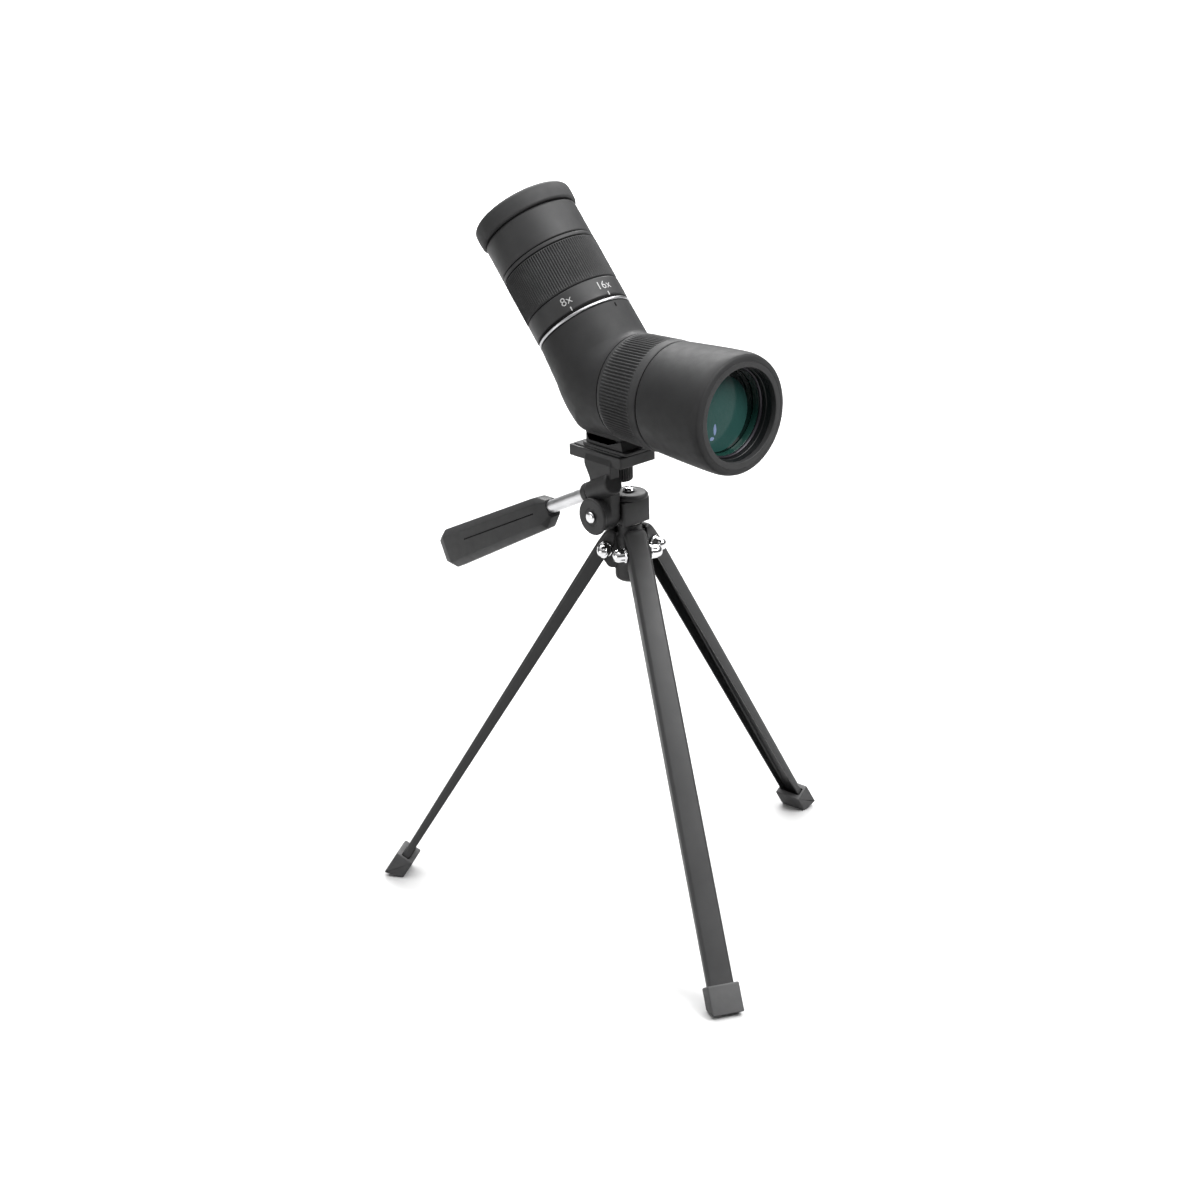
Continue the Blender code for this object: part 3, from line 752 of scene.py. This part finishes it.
def eyepiece_body():
    tube = [
        (17.0, 18.0), (20.0, 18.0, 0.2), (20.0, 22.0, 0.2), (18.6, 22.4), (18.6, 83.9, 0.2),
        (17.0, 84.0, 0.2),
    ]
    stand_for(lathe("eyepiece_inner_tube", tube, "black_anodised", EYE, INNER), "eyepiece_tube")
    trim = [
        (18.9, 29.2), (22.5, 29.2, 0.12), (22.8, 29.45, 0.2), (22.8, 30.2, 0.2), (22.5, 30.45, 0.12),
        (18.9, 30.45),
    ]
    stand_for(lathe("silver_ring", trim, "silver_trim", EYE, FINE), "trim_ring")
    for name, z, width in (("lower", 28.62, 0.55), ("upper", 30.5, 1.15)):
        line = [(21.0, z), (22.3, z), (22.3, z + width), (21.0, z + width)]
        detail(lathe(f"trim_shadow_{name}", line, "shade_and_mark_black", EYE), "trim_ring")
    barrel = [
        (18.9, 65.6), (22.3, 65.6, 0.2), (22.7, 66.0, 0.25), (22.7, 81.3, 0.3), (22.3, 82.0, 0.3),
        (21.0, 82.0), (21.0, 68.0), (18.9, 68.0),
    ]
    stand_for(lathe("ocular_barrel_shell", barrel, "black_plastic", EYE, FINE), "ocular_barrel")
    stand_for(lens("eye_lens_glass", 16.7, 79.6, 5.0, 1.2, 0.4, "coated_glass", EYE), "eye_lens")
    stand_for(lens("field_lens_glass", 16.6, 26.0, 2.6, 0.9, 0.6, "clear_glass", EYE), "field_lens")


def eyecup():
    cup = [
        (21.0, 82.7), (23.0, 82.7, 0.3), (23.7, 83.3, 0.5), (24.0, 88.4, 2.0), (23.6, 91.2, 1.4),
        (21.4, 92.25, 1.2), (18.4, 92.1, 0.9), (16.5, 91.0, 0.7), (16.4, 89.8, 0.4), (21.0, 89.7),
    ]
    stand_for(lathe("eyecup_rubber", cup, "soft_rubber", EYE, FINE, 6), "eyecup")
    sleeve = [(19.2, 70.0), (20.7, 70.0), (20.7, 89.3, 0.2), (19.2, 89.3, 0.2)]
    stand_for(lathe("eyecup_sleeve", sleeve, "black_plastic", EYE, INNER), "eyecup_carrier")


def zoom_wheel():
    ring = [
        (18.9, 31.7), (22.2, 31.7, 0.2), (EYE_R, 32.1, 0.25), (EYE_R, 40.7, 0.25), (22.3, 41.2, 0.2),
        (19.9, 41.25), (19.9, 63.0), (18.9, 63.0),
    ]
    stand_for(lathe("zoom_scale_ring", ring, "black_plastic", EYE, FINE), "zoom_ring")
    stations = [(41.55, 22.1, 0), (41.7, 22.4, 0), (41.9, 22.6, 0), (42.1, 22.7, 0)]
    for k in range(6):
        z = ZOOM_RIBS_FROM + (ZOOM_RIBS_TO - ZOOM_RIBS_FROM) * k / 5
        stations.append((z, 22.78, ZOOM_RIB_DEPTH))
    stations += [(62.5, 22.7, 0), (62.7, 22.6, 0), (62.9, 22.4, 0), (63.05, 22.1, 0)]
    stand_for(ribbed("zoom_grip_ribs", stations, 20.1, "soft_rubber", EYE, ZOOM_RIBS, 10, 1.0), "zoom_grip")
    band = [
        (18.9, 63.35), (22.3, 63.35, 0.15), (22.75, 63.6, 0.2), (22.75, 65.0, 0.2), (22.3, 65.3, 0.15),
        (18.9, 65.3),
    ]
    stand_for(lathe("grip_band", band, "black_plastic", EYE), "grip_retainer")
    shade = [(20.5, 40.9), (22.15, 40.9), (22.15, 41.7), (20.5, 41.7)]
    detail(lathe("zoom_grip_shadow", shade, "shade_and_mark_black", EYE), "zoom_ring")


def wrapped(name, flat, angle, height, radius, kind):
    """Bends a flat shape, drawn about its own centre, round the eyepiece's barrel."""
    bm = bmesh.new()
    bm.from_mesh(flat)
    for vertex in bm.verts:
        turn = math.radians(angle) + vertex.co.x / radius
        r = radius + vertex.co.z
        # Letters read upright when the top of each one is towards the eye.
        vertex.co = (r * math.cos(turn), r * math.sin(turn), height + vertex.co.y)
    return finish_mesh(name, bm, kind, EYE, 30)


def numeral(text, size):
    """The text as a thin closed mesh in millimetres, centred on its own middle."""
    curve = bpy.data.curves.new(f"letters_{text}", "FONT")
    curve.body = text
    curve.size = size
    curve.align_x = "CENTER"
    curve.align_y = "CENTER"
    curve.extrude = 0.06
    curve.offset = -0.05
    curve.resolution_u = 4
    holder = bpy.data.objects.new(f"letters_{text}", curve)
    bpy.context.scene.collection.objects.link(holder)
    graph = bpy.context.evaluated_depsgraph_get()
    mesh = bpy.data.meshes.new_from_object(holder.evaluated_get(graph))
    bpy.data.objects.remove(holder)
    return mesh


def zoom_marks():
    """8x, 16x and 24x on the scale ring, each with a tick. The 16x is next to the index at rest."""
    for k, text in enumerate(("8x", "16x", "24x")):
        angle = MARK_ANGLE + ZOOM_STEP * (k - 1)
        flat = numeral(text, MARK_SIZE)
        letters = wrapped(f"zoom_mark_{text}", flat, angle + 2, MARK_HEIGHT, EYE_R + 0.01, "white_paint")
        detail(letters, "zoom_ring")
        turned = EYE @ Matrix.Rotation(math.radians(angle + 3), 4, "Z")
        facing = turned @ place((0, 0, TICK_HEIGHT), (1, 0, 0), (0, 1, 0))
        outline = rectangle(0.25, 0.95, 0.08)
        tick = slab(f"zoom_tick_{text}", outline, EYE_R - 0.3, EYE_R + 0.06, "white_paint", facing, 0.03, 2)
        detail(tick, "zoom_ring")


# ---------------------------------------------------------------- head

def platform():
    """The plate, the arm that narrows under it, the tilt knuckle and the handle's boss, as one casting."""
    outline = rectangle(PLATE_W / 2, PLATE_L / 2, 0.9, *PLATE)
    plate = slab("plate", outline, PLATE_TOP - PLATE_T, PLATE_TOP, "painted_casting", WORLD, 0.35)
    side = place((0, 0, 0), (1, 0, 0), (0, 1, 0))
    low = TILT_AT.z - 1
    stem_rings = []
    layers = (
        (-15.3, 219.8, 0.35), (-15.0, 220.2, 0.0), (-14.35, 221.9, 0.0), (-9.9, 221.9, 0.0),
        (-9.6, 221.6, 0.3),
    )
    for x, top, inset in layers:
        outline = [
            (-4.55, low), (-4.7, top, 1.0), (12.9, top, 1.0), (12.9, top - 2.8, 1.4), (9.0, 210.4, 2.5),
            (9.8, 203.0, 2.0), (10.5, low),
        ]
        stem_rings.append([(y, z, x) for y, z in offset(rounded(outline), inset)])
    stem = skin("stem", stem_rings, "painted_casting", side)
    turned = [(0, 9.85), (6.9, 9.85, 0.3), (7.6, 10.4, 0.4), (7.6, 18.4, 0.5), (0, 18.4)]
    knuckle = solid_lathe("knuckle", turned, "painted_casting", TILT, INNER)
    turned = [(0, -9.6), (5.0, -9.4, 1.2), (5.0, 6.1, 0.3), (0, 6.1)]
    boss = solid_lathe("boss", turned, "painted_casting", HANDLE)
    casting = cast("tilt_arm_casting", [plate, stem, knuckle, boss], "painted_casting", 0.17)
    stand_for(casting, "tilt_platform")
    # The pad takes the lighter grey rubber as painted light, which brightens it where the barrel above shades
    # it.
    outline = rectangle(9.4, 15.5, 0.9, *PLATE)
    pad = slab("platform_pad_sheet", outline, PLATE_TOP - 0.2, PLATE_TOP + PAD_T, "grey_rubber", WORLD, 0.25)
    stand_for(pad, "platform_pad")


def clamp_screw():
    screw = [
        (0, 209.6), (2.6, 209.6, 0.3), (3.0, 210.4, 0.2), (3.0, 227.2, 0.3), (2.4, 228.2, 0.3), (0, 228.2),
    ]
    stand_for(solid_lathe("camera_screw_shank", screw, "steel", SCREW, TINY), "camera_screw")
    stations = [(209.4, 3.9, 0), (209.5, 4.4, 0), (209.9, 4.9, 0.1)]
    for k in range(5):
        stations.append((KNOB_RIBS_FROM + KNOB_RIBS_LENGTH * k / 4, 5.2, KNOB_RIB_DEPTH))
    stations += [(217.6, 4.9, 0.1), (217.9, 4.6, 0), (218.1, 4.2, 0)]
    stand_for(ribbed("clamp_knob", stations, 3.1, "black_plastic", SCREW, KNOB_RIBS, 8, 1.4), "screw_knob")


def tilt_hardware():
    disc = [
        (2.35, 18.7), (8.3, 18.7, 0.3), (8.6, 19.1, 0.2), (8.6, 20.0, 0.3), (8.1, 20.6, 0.3),
        (4.2, 20.6, 0.1), (4.0, 20.4, 0.1), (2.35, 20.4),
    ]
    stand_for(lathe("tilt_disc_cap", disc, "painted_casting", TILT, INNER), "tilt_disc")
    screw = [
        (0, 3.4), (2.0, 3.4), (2.0, 20.9), (2.7, 20.9, 0.1), (2.7, 21.4, 0.15), (2.1, 22.15, 0.6), (0, 22.4),
    ]
    stand_for(solid_lathe("tilt_screw_head", screw, "chrome", TILT, SMALL, 6), "tilt_screw")
    washer = [(2.3, 8.1), (5.6, 8.1, 0.15), (5.6, 9.3, 0.15), (2.3, 9.3)]
    stand_for(lathe("tilt_washer_ring", washer, "nylon", TILT, SMALL), "tilt_washer")


def grip():
    """The paddle: eight-sided sections along the rod, with a long cut in its near face and a near-black strip
    of painted shade at the cut's bottom.
    """
    sections = [
        (38.3, 3.6, 3.6, 4.8, 1.0), (44.0, 5.1, 6.3, 9.0, 2.6), (49.5, 5.5, 6.7, 9.3, 3.0),
        (121.5, 5.5, 7.4, 12.0, 3.2), (126.0, 4.4, 5.4, 9.6, 2.4),
    ]
    rings = []
    for z, half, up, down, bevel in sections:
        # The frame's Y points down and back, so the grip's upper side is at -Y.
        ring = [
            (-half, -up + bevel, z), (-half + bevel, -up, z), (half - bevel, -up, z), (half, -up + bevel, z),
            (half, down - bevel, z), (half - bevel, down, z), (-half + bevel, down, z),
            (-half, down - bevel, z),
        ]
        rings.append(ring)
    paddle = skin("handle_grip_paddle", rings, "black_plastic", HANDLE, crease=20)
    edges = paddle.modifiers.new("edges", "BEVEL")
    edges.width = 0.35 * MM
    edges.segments = 2
    edges.limit_method = "ANGLE"
    edges.angle_limit = math.radians(12)
    settle(paddle)
    across = HANDLE @ Matrix.Translation((-5.5, 0.4, 76))
    turned = across @ place((0, 0, 0), (0, 1, 0), (1, 0, 0))
    cut(paddle, slab("groove_cutter", rectangle(0.9, 29, 0.3), -0.32, 0.32, "shade_and_mark_black", turned, 0.1, 3), 25)
    stand_for(paddle, "handle_grip")
    # A near-black strip at the bottom of the cut: painted shade, as the smooth cut alone shows none.
    turned = across @ place((0.5, 0, 0), (0, 1, 0), (1, 0, 0))
    groove_shade_strip = slab("handle_grip_groove_shade", rectangle(0.5, 28.6, 0.2), -0.3, 0.3, "shade_and_mark_black", turned, 0.05, 2)
    detail(groove_shade_strip, "handle_grip")


def handle():
    collar = [(3.4, 6.5), (4.5, 6.5, 0.3), (4.9, 6.9, 0.2), (4.9, 9.9, 0.4), (4.2, 10.6, 0.3), (3.4, 10.6)]
    stand_for(lathe("handle_collar_ring", collar, "painted_casting", HANDLE, SMALL), "handle_collar")
    rod = [(0, 0.8), (3.1, 0.8, 0.2), (3.1, 60.0, 0.2), (0, 60.0)]
    stand_for(solid_lathe("handle_rod_bar", rod, "satin_rod", HANDLE), "handle_rod")
    seam_shade = [(3.3, 6.05), (4.4, 6.05), (4.4, 6.6), (3.3, 6.6)]
    detail(lathe("handle_collar_shadow", seam_shade, "shade_and_mark_black", HANDLE, SMALL), "handle_collar")
    grip()


# ---------------------------------------------------------------- tripod

def pan_head():
    """The base with its flat sides, the cap, the screw with its cross slot, and the washer."""
    outline = [(PAN_FLAT, -5.2), (PAN_CORNER, -5.2), (PAN_CORNER, PAN_FRONT, 0.9)]
    start = math.asin(PAN_FRONT / PAN_R)
    end = math.acos(PAN_FLAT / PAN_R)
    steps = 60
    for i in range(steps + 1):
        angle = start + (end - start) * i / steps
        outline.append((PAN_R * math.cos(angle), PAN_R * math.sin(angle)))
    base = slab("pan_base_block", outline, PAN_BOTTOM, PAN_TOP, "painted_casting", WORLD, 0.35)
    stand_for(base, "pan_base")
    cap = [
        (2.35, 200.9), (8.8, 200.9, 0.15), (8.8, 201.9, 0.5), (7.7, 203.1, 0.6), (5.4, 203.3, 0.4),
        (3.6, 203.3, 0.1), (3.4, 203.15, 0.1), (2.35, 203.15),
    ]
    stand_for(lathe("pan_cap_disc", cap, "painted_casting", WORLD, INNER), "pan_cap")
    screw = [
        (0, 172.0), (2.0, 172.0), (2.0, 203.6), (2.9, 203.6, 0.1), (2.9, 204.1, 0.15), (2.2, 205.1, 0.6),
        (0, 205.4),
    ]
    head = solid_lathe("pan_screw_head", screw, "chrome", WORLD, SMALL, 6)
    for turn in (35, 125):
        along = (math.cos(math.radians(turn)), math.sin(math.radians(turn)), 0)
        facing = place((0, 0, 0), (0, 0, 1), along)
        cut(head, slab("slot_cutter", rectangle(1.7, 0.32, 0.1), 204.3, 206.0, "shade_and_mark_black", facing, 0.05, 2), 30)
    stand_for(head, "pan_screw")
    washer = [(2.35, 188.6), (5.6, 188.6, 0.1), (5.6, 189.1, 0.1), (2.35, 189.1)]
    stand_for(lathe("pan_washer_ring", washer, "nylon", WORLD, SMALL), "pan_washer")


def hub():
    """The column with one lug for each leg."""
    profile = [
        (0, HUB_BOTTOM), (5.8, HUB_BOTTOM, 1.2), (7.2, HUB_BOTTOM + 1.6, 0.8), (7.2, 174.0, 0.6),
        (6.6, 176.0, 0.6), (6.6, 182.0, 0.6), (5.7, 184.4, 0.6), (5.7, HUB_TOP, 0.3), (0, HUB_TOP),
    ]
    outline = [
        (3.4, 167.0), (9.6, 167.0, 1.5), (13.2, 172.4, 1.5), (13.6, 177.0, 1.2), (12.4, 180.0, 1.2),
        (7.8, 184.6, 1.0), (3.4, 184.6),
    ]
    pieces = [solid_lathe("column", profile, "painted_casting", WORLD, INNER)]
    for side in SIDES:
        pin = Vector(JOINTS[f"{side}_leg_fold"]["pos_m"])
        out = Vector((pin.x, pin.y, 0)).normalized()
        fin = place((0, 0, 0), (out.y, -out.x, 0), out)
        pieces.append(slab("lug", outline, -3.8, 3.8, "painted_casting", fin, 0.5))
    stand_for(cast("leg_hub_casting", pieces, "painted_casting", 0.26), "leg_hub")


def channel(half, x_in, x_out, corner, wall=0.9):
    """The leg's U section: open on the inner side, rounded on the outer."""
    section = [
        (x_in, -half, 0.25), (x_out, -half, corner), (x_out, half, corner), (x_in, half, 0.25),
        (x_in, half - wall, 0.25), (x_out - wall, half - wall, corner - 0.6),
        (x_out - wall, -half + wall, corner - 0.6), (x_in, -half + wall, 0.25),
    ]
    return rounded(section, 5)


def leg(side):
    """A channel by levels of (height, half width, inner face, outer face), rounded off above the pin."""
    levels = [
        (LEG_END, 6.1, -1.7, 1.8), (-100.0, 5.7, -1.9, 3.4), (0.0, 5.2, -2.2, 4.8), (4.0, 5.2, -2.0, 4.6),
        (6.0, 5.2, -1.3, 4.4), (7.5, 5.2, -0.6, 4.1), (8.6, 5.1, 0.1, 3.8), (9.4, 4.9, 0.6, 3.45),
        (9.9, 4.5, 0.7, 3.1), (10.3, 3.8, 0.8, 2.6),
    ]
    rings = []
    for z, half, x_in, x_out in levels:
        rings.append([(x, y, z) for x, y in channel(half, x_in, x_out, 1.7)])
    stand_for(skin(f"leg_{side}_channel", rings, "painted_leg", leg_frame(side), crease=40), f"leg_{side}")


def foot(side):
    """A rubber block on the leg's end. Its inner corner is cut level with the ground, so that it sits flat."""
    matrix = leg_frame(side)
    lean = math.radians(LEG_SPREAD)
    half = FOOT_D / 2

    def height(x, z):
        return PIVOT_Z + x * math.sin(lean) + z * math.cos(lean)

    def at_ground(a, b):
        share = height(*a) / (height(*a) - height(*b))
        return (a[0] + (b[0] - a[0]) * share, a[1] + (b[1] - a[1]) * share, 0.3)

    low_in = (-half, FOOT_SOLE + half * SOLE_RAKE)
    low_out = (half, FOOT_SOLE - half * SOLE_RAKE)
    top_in = (-half, FOOT_TOP)
    outline = [
        (*top_in, 0.9), at_ground(top_in, low_in), at_ground(low_out, low_in), (*low_out, 0.6),
        (half, FOOT_TOP, 0.9),
    ]
    upright = matrix @ place((0, 0, 0), (0, -1, 0))
    block = slab(f"foot_{side}_block", outline, -FOOT_W / 2, FOOT_W / 2, "grey_rubber", upright, 0.8)
    hollow = rectangle(2.15, 6.5, 0.8, 0.05, 0)
    cut(block, slab("socket_cutter", hollow, LEG_END - 0.3, FOOT_TOP + 5, "shade_and_mark_black", matrix, 0.1), 40)
    stand_for(block, f"foot_{side}")


def leg_hardware(side):
    matrix = leg_frame(side)
    across = matrix @ place((0, 0, 0), (0, 1, 0))
    pin = [(0, -9.4), (1.4, -9.4, 0.2), (1.4, 9.4, 0.2), (0, 9.4)]
    stand_for(solid_lathe(f"leg_pin_{side}_bar", pin, "steel", across, PIN), f"leg_pin_{side}")
    dome = [
        (0, 0), (3.45, 0, 0.1), (3.65, 0.25, 0.1), (3.65, 0.75, 0.15), (3.15, 1.15, 0.15), (3.1, 3.6, 0.6),
        (2.6, 5.1, 0.9), (1.4, 6.05, 0.6), (0, 6.3),
    ]
    for end, turn in (("a", 1), ("b", -1)):
        facing = matrix @ place((0, turn * NUT_START, 0), (0, turn, 0))
        nut = solid_lathe(f"dome_nut_{side}_{end}_cap", dome, "chrome", facing, TINY, 6)
        stand_for(nut, f"dome_nut_{side}_{end}")


# ---------------------------------------------------------------- inner pieces and stage

def inner_nodes():
    """CAD nodes that stay as they are, all inside the body, take the procedural material of their slot."""
    for name, node in frame["nodes"].items():
        node.data.materials.clear()
        node.data.materials.append(MATERIALS[SLOT_OF[name]])


heading = math.radians(CAMERA_HEADING)
drop = math.radians(CAMERA_DROP)
AWAY = Vector((math.cos(heading), math.sin(heading), 0))
RIGHT = Vector((math.sin(heading), -math.cos(heading), 0))
FORWARD = AWAY * math.cos(drop) - Vector((0, 0, math.sin(drop)))
UP = RIGHT.cross(FORWARD)


def camera():
    data = bpy.data.cameras.new("camera")
    data.sensor_width = 36
    data.sensor_fit = "HORIZONTAL"
    data.lens = CAMERA_LENS
    data.clip_end = 20
    obj = bpy.data.objects.new("camera", data)
    target = RIGHT * CAMERA_TARGET_RIGHT + Vector((0, 0, CAMERA_TARGET_UP))
    turn = Matrix((RIGHT, UP, -FORWARD)).transposed().to_4x4()
    turn = turn @ Matrix.Rotation(math.radians(-CAMERA_ROLL), 4, "Z")
    obj.matrix_world = Matrix.Translation(target - FORWARD * CAMERA_DISTANCE) @ turn
    bpy.context.scene.collection.objects.link(obj)
    bpy.context.scene.camera = obj


def studio_point(right, away, up):
    return RIGHT * right + AWAY * away + Vector((0, 0, up))


def area_light(name, power, size, at, aim):
    light = bpy.data.lights.new(name, "AREA")
    light.energy = power
    light.shape = "RECTANGLE"
    light.size = size[0]
    light.size_y = size[1]
    obj = bpy.data.objects.new(name, light)
    obj.location = studio_point(*at)
    obj.rotation_euler = (studio_point(*aim) - studio_point(*at)).to_track_quat("-Z", "Y").to_euler()
    bpy.context.scene.collection.objects.link(obj)


def floor():
    """A pale floor just under the soles, which lights the object only by its reflection."""
    bm = bmesh.new()
    bmesh.ops.create_grid(bm, x_segments=8, y_segments=8, size=FLOOR_SIZE)
    mesh = bpy.data.meshes.new("floor")
    bm.to_mesh(mesh)
    bm.free()
    obj = bpy.data.objects.new("floor", mesh)
    obj.location.z = cad_box[0][2] - FLOOR_GAP
    tree, shader = node_material("floor_paint", grey(0.50), 0.9)
    tree.links.new(ramp(tree, noise(tree, 3, 2), grey(0.49), grey(0.51)), shader.inputs["Base Color"])
    mesh.materials.append(MATERIALS["floor_paint"])
    bpy.context.scene.collection.objects.link(obj)
    obj.visible_diffuse = False


def sky():
    """Even studio light that gets brighter from the floor up."""
    world = bpy.data.worlds.new("studio")
    world.use_nodes = True
    tree = world.node_tree
    background = tree.nodes["Background"]
    coords = tree.nodes.new("ShaderNodeTexCoord")
    split = tree.nodes.new("ShaderNodeSeparateXYZ")
    tree.links.new(coords.outputs["Generated"], split.inputs["Vector"])
    tree.links.new(spread(tree, split.outputs["Z"], SKY_LOW, SKY_HIGH), background.inputs["Strength"])
    background.inputs["Color"].default_value = (1, 1, 1, 1)
    bpy.context.scene.world = world
    bpy.context.scene.view_settings.view_transform = "Standard"


scope_materials()
lens_materials()
tripod_materials()
inner_nodes()
objective_barrel()
front_bezel()
objective_group()
focus_ring()
focus_sleeve()
prism_housing()
mounting_foot()
eyepiece_body()
eyecup()
zoom_wheel()
zoom_marks()
platform()
clamp_screw()
tilt_hardware()
handle()
pan_head()
hub()
for leg_side in SIDES:
    leg(leg_side)
    foot(leg_side)
    leg_hardware(leg_side)
camera()
floor()
sky()
for light_values in LIGHTS:
    area_light(*light_values)
